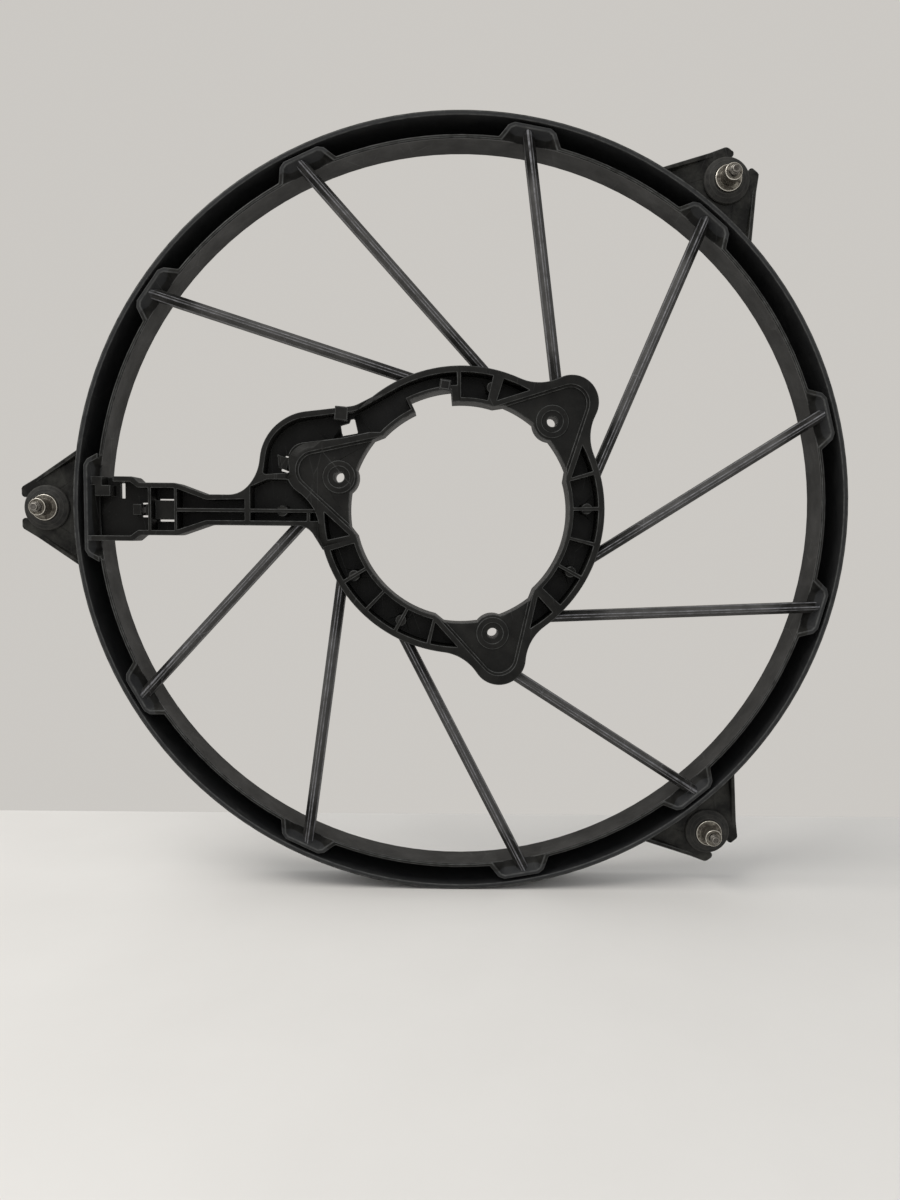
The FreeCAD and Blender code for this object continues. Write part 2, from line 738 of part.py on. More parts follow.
def arm_tongues():
    """The raised tongues that hold the cable's plug down, between the slits."""
    edges = []
    for left, right, low, high in ((-182.6, -170.0, -6.5, 4.8), (-196.0, -191.0, -4.1, 2.5),
                                   (-188.3, -185.4, -4.1, 2.5)):
        edges += outline([(left, low), (right, low), (right, high), (left, high)])
    edges += outline([(-109.8, 32.8), (-106.3, 31.4), (-101.0, 30.2), (-102.4, 22.4), (-109.0, 24.8)])
    return edges


def plug_stops():
    """Two small blocks that stop the plug, in the arm's pocket."""
    edges = []
    for left, right, low, high in ((-222.0, -213.5, 13.4, 18.6), (-217.5, -208.5, 7.0, 13.4)):
        edges += outline([(left, low), (right, low), (right, high), (left, high)])
    return edges


def arm_body():
    """The cable arm before its ends are trimmed to the hoop and the motor ring."""
    body = new_body("arm")
    pad_back(body, new_sketch(body, "arm_outline", arm_outline()), "sizes.arm_depth")
    depth = "sizes.arm_depth - sizes.arm_floor"
    cut_back(body, new_sketch(body, "arm_cells", arm_cells()), depth)
    cut_back(body, new_sketch(body, "arm_cable", cable_cell()), depth)
    tongues = new_sketch(body, "arm_tongues", arm_tongues(), offset=-5)
    pad_back(body, tongues, "sizes.arm_depth - 5")
    boss = new_sketch(body, "arm_boss", [], offset=-0.5)
    add_circle(boss, (-106.0, -0.9), "rib_boss")
    pad_back(body, boss, depth)
    blocks = new_sketch(body, "plug_stops", plug_stops(), offset=-2.5)
    pad_back(body, blocks, "sizes.arm_depth - 2.5")
    windows = new_sketch(body, "arm_windows", arm_windows(), offset=1)
    cut_back(body, windows, "sizes.arm_depth + 2")
    return body


def arm_space():
    """The arm's outline, filled and deeper, to trim the spoke that meets it."""
    body = new_body("arm_space")
    sketch = new_sketch(body, "arm_space_outline", arm_outline(), offset=5)
    pad_back(body, sketch, "sizes.ring_depth + 10")
    return body


def cable_arm(inside, hub):
    """The arm, cut to the hoop's pocket at one end and to the motor ring at the other."""
    trimmed = boolean("Common", "arm_in_hoop", arm_body(), inside)
    return boolean("Cut", "cable_arm", trimmed, hub)


# ---------------------------------------------------------------- ears

def ear_edge():
    """One sloping edge of an ear, from the hoop to the ear's end."""
    base = ring_radius()
    end = base + size("ear_reach")
    return (base + 0.5, size("ear_base")), (end, size("ear_end"))


def ear_outline():
    """An ear as seen from the front: a triangle that ends in two horns beside an open slot."""
    (foot, wide), (end, narrow) = ear_edge()
    slot = size("ear_slot")
    seat = size("bush_neck") + size("seat_gap")
    centre = ring_radius() + size("stud_reach")
    neck = centre + math.sqrt(seat ** 2 - slot ** 2)
    upper = [(foot - 6, wide + 13.5), (foot, wide, 7), (end, narrow, 3.4), (end, slot, 2.2)]
    lower = [(p[0], -p[1]) + tuple(p[2:]) for p in reversed(upper)]
    root = foot - 14
    edges = outline(upper + [(neck, slot), (neck, -slot)] + lower + [(root, -wide), (root, wide)])
    mouth = [e for e in edges if isinstance(e, Part.LineSegment)
             and abs(e.StartPoint.x - neck) < 1e-4 and abs(e.EndPoint.x - neck) < 1e-4]
    edges.remove(mouth[0])
    edges.append(arc_through((neck, slot), (centre - seat, 0), (neck, -slot)))
    return edges


def ear_gussets():
    """The strip along each sloping edge of an ear, before its top is sloped."""
    (foot, wide), (end, narrow) = ear_edge()
    slope = (wide - narrow) / (end - foot)
    thick = size("ear_flange") * math.sqrt(1 + slope ** 2)
    stop = end - size("gusset_end")
    edges = []
    for side in (-1, 1):
        def on_edge(at, inset):
            return (at, side * (narrow + (end - at) * slope - inset))
        edges += outline([on_edge(foot - 6, 0), on_edge(stop, 0), on_edge(stop, thick),
                          on_edge(foot - 6, thick)])
    return edges


def gusset_slope():
    """What is cut away in front of the gussets, so that they run out into the ear's front face."""
    front = size("ear_front")
    tall = front - size("flange_rise")
    foot = ring_radius()
    end = foot + size("ear_reach")
    clear = tall - 2
    return outline([(foot, clear), (end, clear), (end, front), (end - size("gusset_end"), front),
                    (foot, tall)])


def ear(name, angle, hoop_space):
    """One mounting ear, cut to the outside of the hoop."""
    front = size("ear_front")
    body = new_body(name + "_plate")
    pad_back(body, new_sketch(body, name + "_outline", ear_outline(), offset=-front), "sizes.ear_plate")
    strips = new_sketch(body, name + "_strips", ear_gussets(), offset=-(front - size("flange_rise")))
    pad_back(body, strips, "sizes.flange_rise + sizes.ear_plate / 2")
    slope = feature(body, "Pocket", new_sketch(body, name + "_slope", gusset_slope(), "XY_Plane"),
                    "2 * sizes.ear_base + 20", False)
    slope.Midplane = True
    body.Placement = about_axis(angle)
    return boolean("Cut", name, body, hoop_space)


def hoop_cylinder():
    """The space inside the hoop's outer face."""
    item = doc.addObject("Part::Cylinder", "hoop_space")
    item.Radius = ring_radius()
    item.Height = size("ring_depth") + 40
    item.Placement = Placement(Vector(0, -20, 0), Rotation(Vector(1, 0, 0), -90))
    return item


# ---------------------------------------------------------------- rubber mounts

def stud_place(angle):
    """Where a rubber mount sits: its own axis is Y, at the plane of the lip."""
    x, z = polar(ring_radius() + size("stud_reach"), angle)
    return Placement(Vector(x, 0, z), Rotation(Vector(0, -1, 0), angle))


def bush_faces():
    """Depths of the bush's front face, its two shoulders and its rear face."""
    front = size("ear_front") - size("seat_gap")
    rear = size("ear_front") + size("ear_plate") + size("seat_gap")
    return front - size("bush_flange_depth"), front, rear, rear + size("bush_flange_depth")


def sleeve_ends():
    """Depths of the sleeve's nose, its collar's front face, and its rear end."""
    collar = bush_faces()[0] - size("collar_depth")
    return collar - size("sleeve_nose"), collar, bush_faces()[3] + 0.4


def rubber_bush(name, angle):
    """A grooved rubber bush that slides into the ear's slot."""
    front, shoulder, ledge, rear = bush_faces()
    flange = size("bush_flange")
    bore = size("sleeve_radius") + size("sleeve_fit")
    flat_face = size("collar_radius") + 1
    rim = size("bush_rim")
    body = new_body(name)
    section = outline([
        (bore, front),
        (flat_face, front),
        (flange, shoulder - rim),
        (flange, shoulder),
        (size("bush_neck"), shoulder),
        (size("bush_neck"), ledge),
        (flange, ledge),
        (flange, ledge + rim),
        (flat_face, rear),
        (bore, rear),
    ])
    revolved(body, new_sketch(body, name + "_section", section, "XY_Plane"))
    body.Placement = stud_place(angle)
    return body


def steel_sleeve(name, angle):
    """A turned steel sleeve with a collar that bears on the bush; its bore keeps the screw's thread in front."""
    nose, collar, rear = sleeve_ends()
    bore = size("screw_waist") + size("waist_clearance")
    tube = size("sleeve_radius")
    body = new_body(name)
    section = outline([
        (bore, nose),
        (tube, nose),
        (tube, collar),
        (size("collar_radius"), collar),
        (size("collar_radius"), collar + size("collar_depth")),
        (tube, collar + size("collar_depth")),
        (tube, rear),
        (bore, rear),
    ])
    revolved(body, new_sketch(body, name + "_section", section, "XY_Plane"))
    body.Placement = stud_place(angle)
    return body


def captive_screw(name, angle):
    """A captive hexagon flange screw: it spins in its sleeve, between its head and its thread."""
    nose, collar, rear = sleeve_ends()
    tip = nose - size("screw_nose")
    seat = rear + size("screw_float")
    thread = size("screw_radius")
    shoulder = nose - size("screw_float")
    body = new_body(name)
    section = outline([
        (0, tip),
        (thread, tip),
        (thread, shoulder),
        (size("screw_waist"), shoulder),
        (size("screw_waist"), seat),
        (size("screw_flange"), seat),
        (size("screw_flange"), seat + size("screw_flange_depth")),
        (0, seat + size("screw_flange_depth")),
    ])
    revolved(body, new_sketch(body, name + "_section", section, "XY_Plane"))
    corner = size("screw_hex") / math.sqrt(3)
    head = outline([polar(corner, 60 * i) for i in range(6)])
    top = new_sketch(body, name + "_hexagon", head, offset=-(seat + size("screw_flange_depth") - 0.4))
    pad_back(body, top, "sizes.screw_head + 0.4")
    body.Placement = stud_place(angle)
    return body


# ---------------------------------------------------------------- assembly

def build():
    """Every sub-part, under the name of its node."""
    shells, hollows = pocket_shapes()
    inside = boolean("Fuse", "inner_space", throat_core(), hollows)
    ring = shroud_ring(shells, inside)
    hub = hub_space()
    arm = arm_space()
    whole = motor_ring()
    side = cable_side()
    parts = {
        "shroud_ring": ring,
        "motor_ring": boolean("Cut", "motor_ring", whole, side),
        "cable_lobe": boolean("Common", "cable_lobe", whole, side),
        "cable_arm": cable_arm(inside, hub),
    }
    for item in spokes(inside, hub, arm):
        parts[item.Name] = item
    hoop = hoop_cylinder()
    for place, angle in EARS.items():
        parts["ear_" + place] = ear("ear_" + place, angle, hoop)
        parts["captive_screw_" + place] = captive_screw("captive_screw_" + place, angle)
    bushes = [rubber_bush("bush_" + place, angle) for place, angle in EARS.items()]
    sleeves = [steel_sleeve("sleeve_" + place, angle) for place, angle in EARS.items()]
    parts["rubber_bushes"] = grouped("rubber_bushes", bushes)
    parts["steel_sleeves"] = grouped("steel_sleeves", sleeves)
    return parts


def check_and_write(parts):
    """Stops on any failed feature or broken solid, then writes one STEP file for each sub-part."""
    doc.recompute()
    for item in doc.Objects:
        if "Invalid" in item.State or "Error" in item.State:
            raise RuntimeError("%s failed: %s" % (item.Name, item.State))
    os.makedirs("parts", exist_ok=True)
    for name, item in parts.items():
        item.Label = name
        shape = item.Shape
        if shape.isNull() or not shape.isValid():
            raise RuntimeError(name + " has no valid shape")
        print("%-22s solids %d  volume %9.1f mm3" % (name, len(shape.Solids), shape.Volume))
        shape.exportStep("parts/%s.step" % name)


check_and_write(build())
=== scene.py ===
"""The radiator fan shroud as it looks: one dark moulding, rubber bushes, steel sleeves and screws.

Everything is in metres, in the frame of the solids: the fan axis is Y, the open front of the ring
faces -Y and +Z is up.
"""
import json
import math

import bmesh
import bpy
from mathutils import Matrix, Vector
from mathutils.bvhtree import BVHTree


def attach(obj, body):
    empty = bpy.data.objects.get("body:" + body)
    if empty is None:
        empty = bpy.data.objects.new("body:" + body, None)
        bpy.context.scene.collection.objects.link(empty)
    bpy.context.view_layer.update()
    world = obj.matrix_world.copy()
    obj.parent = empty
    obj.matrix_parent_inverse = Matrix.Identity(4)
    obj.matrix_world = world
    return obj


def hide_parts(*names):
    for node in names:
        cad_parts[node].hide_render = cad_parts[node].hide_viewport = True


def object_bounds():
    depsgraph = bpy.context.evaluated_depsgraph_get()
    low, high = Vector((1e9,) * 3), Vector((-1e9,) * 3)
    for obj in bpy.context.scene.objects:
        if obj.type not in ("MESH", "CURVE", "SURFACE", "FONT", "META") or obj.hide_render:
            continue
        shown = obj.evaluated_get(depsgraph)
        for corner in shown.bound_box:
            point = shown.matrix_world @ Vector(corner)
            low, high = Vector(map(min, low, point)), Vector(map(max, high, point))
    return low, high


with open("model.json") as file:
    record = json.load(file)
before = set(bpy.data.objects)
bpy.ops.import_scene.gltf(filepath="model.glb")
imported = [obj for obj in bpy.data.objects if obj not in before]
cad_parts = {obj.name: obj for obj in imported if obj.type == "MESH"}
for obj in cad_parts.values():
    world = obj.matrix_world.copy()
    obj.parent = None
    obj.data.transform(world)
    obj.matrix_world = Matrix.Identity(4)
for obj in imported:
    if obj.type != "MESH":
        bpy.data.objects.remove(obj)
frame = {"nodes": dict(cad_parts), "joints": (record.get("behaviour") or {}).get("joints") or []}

cad_box = [list(corner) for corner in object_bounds()]
scene = bpy.context.scene
MM = 0.001
NODES = frame["nodes"]
STUDS = {joint["child"]: Vector(joint["pos_m"]) for joint in frame["joints"]}
LOOSE = ("rubber_", "steel_", "captive_")
MOULDED = sorted(name for name in NODES if not name.startswith(LOOSE))


# ---------------------------------------------------------------- sizes of the finish

# How far the edges are rounded.
EDGE_ROUND = 0.5 * MM
ROUNDING = {"shroud_ring": 0.55 * MM, "cable_arm": 0.4 * MM, "motor_ring": 0.45 * MM}
BAR_ROUND = 0.7 * MM
BUSH_ROUND = 0.25 * MM
SLEEVE_ROUND = 0.35 * MM
SCREW_ROUND = 0.18 * MM
TAB_ROUND = 0.35 * MM
STRAY_SHARE = 0.7        # a rounded point may leave the sharp surface by this share of the rounding

# How near is the same place.
SEAM_GAP = 0.08 * MM
SAME_POINT = 0.004 * MM
SAME_TURNED_POINT = 0.001 * MM
NO_LENGTH = 0.008 * MM

# Small tabs too fine for the solids, in mm: centre, size, turn about the fan axis in degrees, taper.
TABS = {
    "cable_arm": (((-71.3, 1.6, 56.6), (8.0, 2.6, 8.2), 5, 0.4),),
    "cable_lobe": (((-10.3, 2.6, 73.6), (6.6, 5.6, 6.4), 8, 0.8),),
}

# The turned pieces, as (radius, depth) in mm from step to step, about a Y axis through their stud.
ROUND_STEPS = 72
BUSH_PROFILE = [(5.05, 7.7), (8.7, 7.7), (9.3, 8.0), (10.4, 8.55), (10.8, 8.55), (11.3, 9.0), (13.0, 9.7),
                (13.6, 10.3), (13.6, 11.4), (13.3, 11.7), (7.8, 11.7), (7.8, 15.3), (13.3, 15.3),
                (13.6, 15.6), (13.6, 16.7), (13.0, 17.3), (8.7, 19.3), (5.05, 19.3), (5.05, 7.7)]
SLEEVE_PROFILE = [(2.8, -3.4), (5.0, -3.4), (5.0, 6.2), (7.75, 6.2), (7.75, 7.7), (5.0, 7.7), (5.0, 19.7),
                  (2.8, 19.7), (2.8, -3.4)]
SHANK_PROFILE = [(1.9, -7.9), (2.3, -7.5), (2.3, -7.0), (2.5, -6.8), (2.5, 20.0), (6.6, 20.0),
                 (7.0, 20.4), (7.0, 20.9), (5.9, 21.6), (4.9, 21.6)]

# The screws' thread and hexagon, in mm.
THREAD_START = -7.1
THREAD_PITCH = 1.0
THREAD_TURNS = 3.3
THREAD_STEPS = 30
THREAD_MIDDLE = 2.58
RIDGE_RADIUS = 0.3
RIDGE_STRETCH = (1.3, 1.55, 1)
HEX_ACROSS = 10.0
HEX_HEIGHT = 4.5
HEX_MIDDLE = 23.6
HEX_RIM = 1.4
DISH_SLOPE = 0.5
DISH_DEPTH = 0.7

# Bands of the housing, by distance from the fan axis in metres: from, to, softness.
BAR_BAND = (0.112, 0.190, 0.014)
THROAT_BAND = (0.2115, 0.2195, 0.0008)
CHANNEL_BAND = (0.2200, 0.2284, 0.0004)
EAR_BAND = (0.2330, 0.3000, 0.0010)
# The depths between which the painted shade of the hollows comes in.
HOLLOW_DEPTHS = (0.004, 0.009)

# The stage, in metres; the camera's angles are in radians and its lens in mm.
FLOOR_SIZE = (6.0, 3.2)
FLOOR_MIDDLE = -1.45
BACKDROP = (0.60, 0.58, 0.55, 1)
SOFT_LIGHT = (0.96, 0.98, 1.0, 1)
SOFT_STRENGTH = 0.62
CAMERA_PLACE = (-0.009054, -0.535531, -0.015073)
CAMERA_PITCH, CAMERA_YAW, CAMERA_ROLL = 0.0705315, 0.0052228, 0.0094353
CAMERA_LENS, CAMERA_SENSOR = 27.0, 36.0


# ---------------------------------------------------------------- modelling helpers

def deselect_all():
    if bpy.context.mode != "OBJECT":
        bpy.ops.object.mode_set(mode="OBJECT")
    bpy.ops.object.select_all(action="DESELECT")


def make_active(piece):
    deselect_all()
    piece.select_set(True)
    bpy.context.view_layer.objects.active = piece


def edit(piece):
    """Opens a piece in edit mode with all of it selected."""
    make_active(piece)
    bpy.ops.object.mode_set(mode="EDIT")
    bpy.ops.mesh.select_all(action="SELECT")


def leave_edit():
    bpy.ops.object.mode_set(mode="OBJECT")


def edit_faces(piece, chosen):
    """Opens a piece in edit mode with only the faces that pass a test selected."""
    edit(piece)
    bpy.ops.mesh.select_all(action="DESELECT")
    leave_edit()
    for face in piece.data.polygons:
        face.select = chosen(face)
    bpy.ops.object.mode_set(mode="EDIT")


def apply_modifier(piece, kind, **settings):
    make_active(piece)
    modifier = piece.modifiers.new(kind, kind)
    for key, value in settings.items():
        setattr(modifier, key, value)
    bpy.ops.object.modifier_apply(modifier=modifier.name)


def soften(piece, width, segments=2, angle=30, joints=()):
    """Rounds a piece's sharp edges, but not where it runs on into a neighbour, and marks the rims."""
    mesh = piece.data
    before = surface_of(piece)
    shape = bmesh.new()
    shape.from_mesh(mesh)
    weight = shape.edges.layers.float.new("bevel_weight_edge")
    for edge in shape.edges:
        if edge.is_manifold and edge.calc_face_angle() > math.radians(angle):
            marks = [edge.verts[0].co, edge.verts[1].co, (edge.verts[0].co + edge.verts[1].co) / 2]
            seam = any(all(near(tree, mark) for mark in marks) for tree in joints)
            edge[weight] = 0.0 if seam else 1.0
    shape.to_mesh(mesh)
    shape.free()
    while len(mesh.materials) < 2:
        mesh.materials.append(None)
    apply_modifier(piece, "BEVEL", width=width, segments=segments, limit_method="WEIGHT",
                   use_clamp_overlap=False, miter_outer="MITER_ARC", loop_slide=True, material=1)
    settle(piece, before, width * STRAY_SHARE)
    mark_rims(piece, before)
    edit(piece)
    bpy.ops.mesh.dissolve_degenerate(threshold=NO_LENGTH)
    leave_edit()
    smooth(piece)


def surface_of(piece):
    return BVHTree.FromPolygons([point.co for point in piece.data.vertices],
                                [face.vertices for face in piece.data.polygons])


def settle(piece, surface, reach):
    """Where walls are too thin for the rounding, its stray points go back to the sharp surface."""
    for point in piece.data.vertices:
        place, _, _, distance = surface.find_nearest(point.co)
        boxed = all(low <= value <= high for low, value, high in zip(cad_box[0], point.co, cad_box[1]))
        if distance > reach or not boxed:
            point.co = place


def near(tree, point):
    """Whether a point lies on a neighbour's surface."""
    return tree.find_nearest(point, SEAM_GAP)[0] is not None


def mark_rims(piece, surface):
    """Keeps the rounded rims as the piece's own attribute: 1 on a rim, 0 on a face or in a corner."""
    mesh = piece.data
    rims = []
    for face in mesh.polygons:
        place, normal, _, _ = surface.find_nearest(face.center)
        inside = (face.center - place).dot(normal) < 0
        rims.append(1.0 if face.material_index == 1 and inside else 0.0)
    mark = mesh.attributes.new("rim", "FLOAT", "FACE")
    mark.data.foreach_set("value", rims)
    mesh.polygons.foreach_set("material_index", [0] * len(mesh.polygons))
    mesh.materials.clear()


def smooth(piece):
    make_active(piece)
    bpy.ops.object.shade_smooth_by_angle(angle=math.radians(50))
    apply_modifier(piece, "WEIGHTED_NORMAL", keep_sharp=True, weight=80)


def joined(name, pieces):
    make_active(pieces[0])
    for piece in pieces[1:]:
        piece.select_set(True)
    bpy.ops.object.join()
    pieces[0].name = name
    return pieces[0]


def dress(piece, body, slot, material, *nodes):
    piece.data.materials.clear()
    piece.data.materials.append(material)
    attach(piece, body)
    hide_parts(*nodes)


def copy_to(piece, name, shift):
    """A copy with its own mesh, moved to another place."""
    twin = bpy.data.objects.new(name, piece.data.copy())
    scene.collection.objects.link(twin)
    edit(twin)
    bpy.ops.transform.translate(value=shift)
    leave_edit()
    return twin


# ---------------------------------------------------------------- materials

class Nodes:
    """A short way to lay out one material's nodes."""

    def __init__(self, name):
        self.material = bpy.data.materials.new(name)
        self.material.use_nodes = True
        self.tree = self.material.node_tree
        self.shader = self.tree.nodes["Principled BSDF"]
        self.place = self.add("ShaderNodeTexCoord").outputs["Object"]

    def add(self, kind, **settings):
        node = self.tree.nodes.new(kind)
        for key, value in settings.items():
            setattr(node, key, value)
        return node

    def link(self, source, target):
        self.tree.links.new(source, target)

    def feed(self, value, target):
        """A socket is linked; a plain value is set."""
        if isinstance(value, bpy.types.NodeSocket):
            self.link(value, target)
        else:
            target.default_value = value

    def noise(self, size_mm, detail=4.0, roughness=0.55, stretch=(1, 1, 1)):
        mapping = self.add("ShaderNodeMapping")
        mapping.inputs["Scale"].default_value = stretch
        self.link(self.place, mapping.inputs["Vector"])
        noise = self.add("ShaderNodeTexNoise")
        noise.inputs["Scale"].default_value = 1.0 / (size_mm * MM)
        noise.inputs["Detail"].default_value = detail
        noise.inputs["Roughness"].default_value = roughness
        self.link(mapping.outputs["Vector"], noise.inputs["Vector"])
        return noise.outputs["Fac"]

    def scratches(self, size_mm, width):
        """Thin wandering lines, from the cell borders of a stretched pattern."""
        mapping = self.add("ShaderNodeMapping")
        mapping.inputs["Rotation"].default_value = (0.4, 0.7, 0.9)
        mapping.inputs["Scale"].default_value = (1.0, 0.25, 0.25)
        self.link(self.place, mapping.inputs["Vector"])
        cells = self.add("ShaderNodeTexVoronoi", feature="DISTANCE_TO_EDGE")
        cells.inputs["Scale"].default_value = 1.0 / (size_mm * MM)
        self.link(mapping.outputs["Vector"], cells.inputs["Vector"])
        return self.ramp(cells.outputs["Distance"], [(0.0, grey(1)), (width, grey(0))])

    def attribute(self, name):
        return self.add("ShaderNodeAttribute", attribute_name=name).outputs["Fac"]

    def radius(self):
        """Distance from the fan axis, in metres."""
        parts = self.add("ShaderNodeSeparateXYZ")
        self.link(self.place, parts.inputs[0])
        flat = self.add("ShaderNodeCombineXYZ")
        self.link(parts.outputs["X"], flat.inputs["X"])
        self.link(parts.outputs["Z"], flat.inputs["Z"])
        length = self.add("ShaderNodeVectorMath", operation="LENGTH")
        self.link(flat.outputs[0], length.inputs[0])
        return length.outputs["Value"]

    def band(self, source, low, high, edge):
        """1 between two values and 0 outside them, with soft ends."""
        rise = self.add("ShaderNodeMapRange", interpolation_type="SMOOTHSTEP")
        fall = self.add("ShaderNodeMapRange", interpolation_type="SMOOTHSTEP")
        for node, start, end in ((rise, low - edge, low), (fall, high + edge, high)):
            self.link(source, node.inputs["Value"])
            node.inputs["From Min"].default_value = start
            node.inputs["From Max"].default_value = end
        return self.maths("MULTIPLY", rise.outputs["Result"], fall.outputs["Result"])

    def hollow_shade_fade(self, start, end):
        """1 at the front, falling to 0 between two depths: takes the dust out of the hollows, a painted
        shade that darkens them.
        """
        parts = self.add("ShaderNodeSeparateXYZ")
        self.link(self.place, parts.inputs[0])
        fall = self.add("ShaderNodeMapRange", interpolation_type="SMOOTHSTEP")
        self.link(parts.outputs["Y"], fall.inputs["Value"])
        fall.inputs["From Min"].default_value = start
        fall.inputs["From Max"].default_value = end
        fall.inputs["To Min"].default_value = 1.0
        fall.inputs["To Max"].default_value = 0.0
        return fall.outputs["Result"]

    def ramp(self, source, stops):
        ramp = self.add("ShaderNodeValToRGB")
        elements = ramp.color_ramp.elements
        elements[0].position, elements[0].color = stops[0][0], stops[0][1]
        elements[1].position, elements[1].color = stops[-1][0], stops[-1][1]
        for position, colour in stops[1:-1]:
            elements.new(position).color = colour
        self.link(source, ramp.inputs["Fac"])
        return ramp.outputs["Color"]

    def mix(self, factor, first, second):
        mix = self.add("ShaderNodeMix", data_type="RGBA")
        self.feed(factor, mix.inputs[0])
        self.feed(first, mix.inputs[6])
        self.feed(second, mix.inputs[7])
        return mix.outputs[2]

    def maths(self, operation, first, second):
        node = self.add("ShaderNodeMath", operation=operation)
        self.feed(first, node.inputs[0])
        self.feed(second, node.inputs[1])
        return node.outputs[0]

    def bumps(self, *layers):
        """Relief in layers of (height, depth in mm)."""
        normal = None
        for height, depth_mm in layers:
            bump = self.add("ShaderNodeBump")
            bump.inputs["Strength"].default_value = 1.0
            bump.inputs["Distance"].default_value = depth_mm * MM
            self.link(height, bump.inputs["Height"])
            if normal is not None:
                self.link(normal, bump.inputs["Normal"])
            normal = bump.outputs["Normal"]
        self.link(normal, self.shader.inputs["Normal"])


def grey(value):
    return (value, value, value, 1)


def moulded_plastic(name, bar_light, dust_and_bar_light, scuff_and_highlight):
    """Black glass-filled plastic: satin, with a film of road dust. Its rims are lighter, partly scuffing
    and partly a painted highlight; the bars and the hoop's channel get painted light, and the motor ring's
    hollows painted shade.
    """
    m = Nodes(name)
    clean = (0.0042, 0.0042, 0.0039, 1)
    faded = (0.0100, 0.0099, 0.0092, 1)
    # The colour of the painted fill light in the hoop's channel.
    channel_fill_grey = (0.030, 0.031, 0.033, 1)
    fading = m.ramp(m.noise(45, 5), [(0.38, grey(0)), (0.68, grey(1))])
    colour = m.mix(fading, clean, faded)
    throat = m.band(m.radius(), *THROAT_BAND)
    film_and_light = m.ramp(m.noise(11, 7, 0.68, (1, 1.6, 1)), [(0.40, grey(0)), (0.72, grey(1))])
    # Painted light on the bars: a lighter film and tone stand in for the light that catches the spokes'
    # tops.
    lit_bars = m.maths("MULTIPLY", m.band(m.radius(), *BAR_BAND), bar_light)
    ears = m.maths("MULTIPLY", m.band(m.radius(), *EAR_BAND), 0.85)
    # Painted fill light: the hoop's channel is lightened, standing in for light that reaches into it.
    channel_fill = m.maths("MULTIPLY", m.band(m.radius(), *CHANNEL_BAND), 0.75)
    ears_and_channel_fill = m.maths("MAXIMUM", ears, channel_fill)
    # The film of dust, with painted light and shade in it: some dust in the throat, a little elsewhere and
    # more on the ears;
    # a lighter film on the bars and in the hoop's channel that is painted light; none in the hollows of the
    # motor ring, a painted shade.
    film_and_light_share = m.maths("MAXIMUM", m.maths("MULTIPLY", throat, 0.34), m.maths("MULTIPLY", lit_bars, 0.45))
    film_and_light_share = m.maths("MAXIMUM", film_and_light_share, 0.16)
    # Painted shade: the hollows of the motor ring lose the dust, so they are darker.
    film_and_light_share = m.maths("MAXIMUM", m.maths("MULTIPLY", film_and_light_share, m.hollow_shade_fade(*HOLLOW_DEPTHS)), ears_and_channel_fill)
    film_and_light = m.maths("MULTIPLY", film_and_light, film_and_light_share)
    colour = m.mix(film_and_light, colour, dust_and_bar_light)
    # Painted light: the bars are lightened towards the dust colour.
    colour = m.mix(m.maths("MULTIPLY", lit_bars, 0.34), colour, dust_and_bar_light)
    # Painted fill light: the channel is lightened towards grey.
    colour = m.mix(m.maths("MULTIPLY", channel_fill, 0.85), colour, channel_fill_grey)
    specks = m.ramp(m.noise(1.3, 2), [(0.70, grey(0)), (0.80, grey(0.6))])
    colour = m.mix(specks, colour, dust_and_bar_light)
    # The rims are lightened: partly rubbed wear, partly a painted highlight on the rounded edges.
    rim_variation = m.ramp(m.noise(5, 6, 0.7), [(0.36, grey(0.18)), (0.62, grey(0.95))])
    rim = m.maths("MULTIPLY", m.attribute("rim"), rim_variation)
    colour = m.mix(rim, colour, scuff_and_highlight)
    patches = m.ramp(m.noise(30, 3), [(0.5, grey(0)), (0.6, grey(0.5))])
    lines = m.maths("MULTIPLY", m.scratches(17, 0.006), patches)
    colour = m.mix(lines, colour, scuff_and_highlight)
    m.link(colour, m.shader.inputs["Base Color"])
    sheen = m.ramp(m.noise(19, 6, 0.65), [(0.30, grey(0.40)), (0.70, grey(0.56))])
    m.link(m.mix(film_and_light, sheen, grey(0.75)), m.shader.inputs["Roughness"])
    m.shader.inputs["Specular IOR Level"].default_value = 0.14
    m.bumps((m.noise(0.7, 3), 0.035), (m.noise(9, 3), 0.10))
    return m.material


def bush_rubber():
    """Grey-black rubber, bloomed and dusty."""
    m = Nodes("bush_rubber")
    bloom = m.ramp(m.noise(5, 6, 0.65), [(0.38, grey(0)), (0.68, grey(1))])
    colour = m.mix(bloom, (0.013, 0.0128, 0.012, 1), (0.030, 0.029, 0.026, 1))
    rim = m.maths("MULTIPLY", m.attribute("rim"), 0.45)
    colour = m.mix(rim, colour, (0.05, 0.048, 0.043, 1))
    m.link(colour, m.shader.inputs["Base Color"])
    m.link(m.ramp(m.noise(2.2, 4), [(0.3, grey(0.70)), (0.7, grey(0.88))]), m.shader.inputs["Roughness"])
    m.shader.inputs["Specular IOR Level"].default_value = 0.3
    m.bumps((m.noise(0.4, 3), 0.04), (m.noise(3.5, 3), 0.06))
    return m.material


